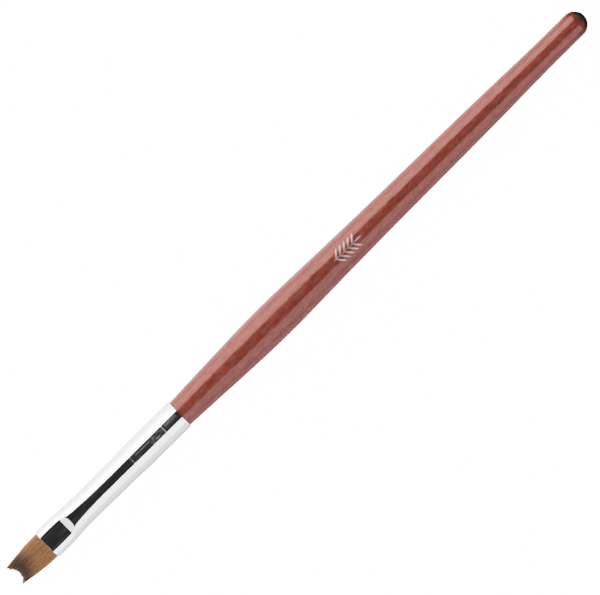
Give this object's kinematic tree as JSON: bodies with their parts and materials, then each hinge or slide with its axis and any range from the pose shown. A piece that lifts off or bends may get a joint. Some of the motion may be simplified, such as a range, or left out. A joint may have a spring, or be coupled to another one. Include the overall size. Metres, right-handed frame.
{
  "type": "acrylic nail brush",
  "caption": "Flat nail brush: crescent-cut hair tuft in a polished ferrule, pressed flat at its mouth, on a slim turned wooden handle that swells near the ferrule.",
  "frame": {"origin": "centre of the ferrule's mouth, where the hair comes out, on the brush's axis", "axes": "+X along the handle from the mouth to the tail, +Z square to the flat faces of the tuft, Y across the tuft's width"},
  "size_m": [0.1802, 0.009, 0.009],
  "materials": {
    "lacquered_wood": "red-brown stained hardwood under clear gloss lacquer",
    "polished_ferrule": "mirror-polished nickel plate",
    "hair": "golden-brown natural hair with darker tips",
    "resin": "amber set resin",
    "thread": "waxed linen thread",
    "glue": "clear set glue",
    "silver_foil": "hot-stamped silver foil"
  },
  "bodies": {
    "holder": {"handle": "lacquered_wood", "ferrule": "polished_ferrule", "tenon_glue": "glue", "foil_ornament": "silver_foil", "root_resin": "resin", "tie_thread": "thread", "hair_heel": "hair"},
    "belly": {"hair_belly": "hair"},
    "toe": {"hair_toe": "hair"}
  },
  "joints": [
    {"name": "heel_bend", "type": "hinge", "parent": "holder", "child": "belly", "pos_m": [-0.002, 0, 0], "axis": [0, 1, 0], "range_deg": [-14, 14], "stiffness_Nm_per_rad": 0.00005},
    {"name": "belly_bend", "type": "hinge", "parent": "belly", "child": "toe", "pos_m": [-0.0054, 0, 0], "axis": [0, 1, 0], "range_deg": [-17, 17], "stiffness_Nm_per_rad": 0.00002}
  ],
  "couplings": [
    {"joint": "belly_bend", "follows": "heel_bend", "ratio": 1.2}
  ]
}
